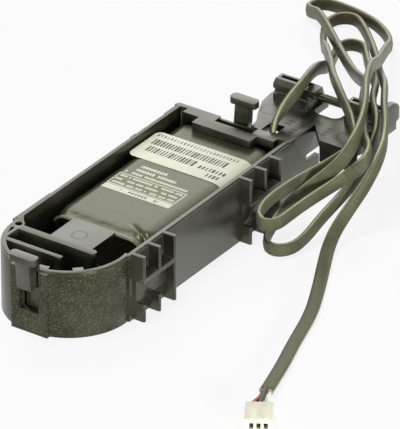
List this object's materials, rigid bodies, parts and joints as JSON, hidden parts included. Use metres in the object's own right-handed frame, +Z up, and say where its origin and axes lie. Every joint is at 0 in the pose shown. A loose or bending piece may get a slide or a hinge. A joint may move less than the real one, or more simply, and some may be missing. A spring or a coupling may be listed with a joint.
{
  "type": "flash-backed write cache power pack",
  "caption": "Black snap-in tray with a round nose and a rear arm, holding a film-wrapped capacitor pack with a paper label and a coiled lead to a small connector.",
  "frame": {"origin": "on the tray's base, at the centre of the round nose", "axes": "+X to the side with the rail clips, +Y from the nose to the rear arm, +Z up"},
  "size_m": [0.1293, 0.2199, 0.0377],
  "materials": {
    "tray_plastic": "fine spark-eroded mould texture",
    "pack_film": "shrunk film, glossy",
    "label_paper": "coated paper",
    "sleeve": "satin sleeve",
    "white_insulation": "satin",
    "black_insulation": "satin",
    "red_insulation": "satin",
    "connector_plastic": "moulded nylon",
    "contact_metal": "tin plated"
  },
  "bodies": {
    "root": {"holder_tray": "tray_plastic", "capacitor_pack": "pack_film", "part_label": "label_paper", "cable_sleeve": "sleeve", "wire_white": "white_insulation", "wire_black": "black_insulation", "wire_red": "red_insulation", "connector_housing": "connector_plastic", "connector_contacts": "contact_metal"}
  },
  "joints": []
}
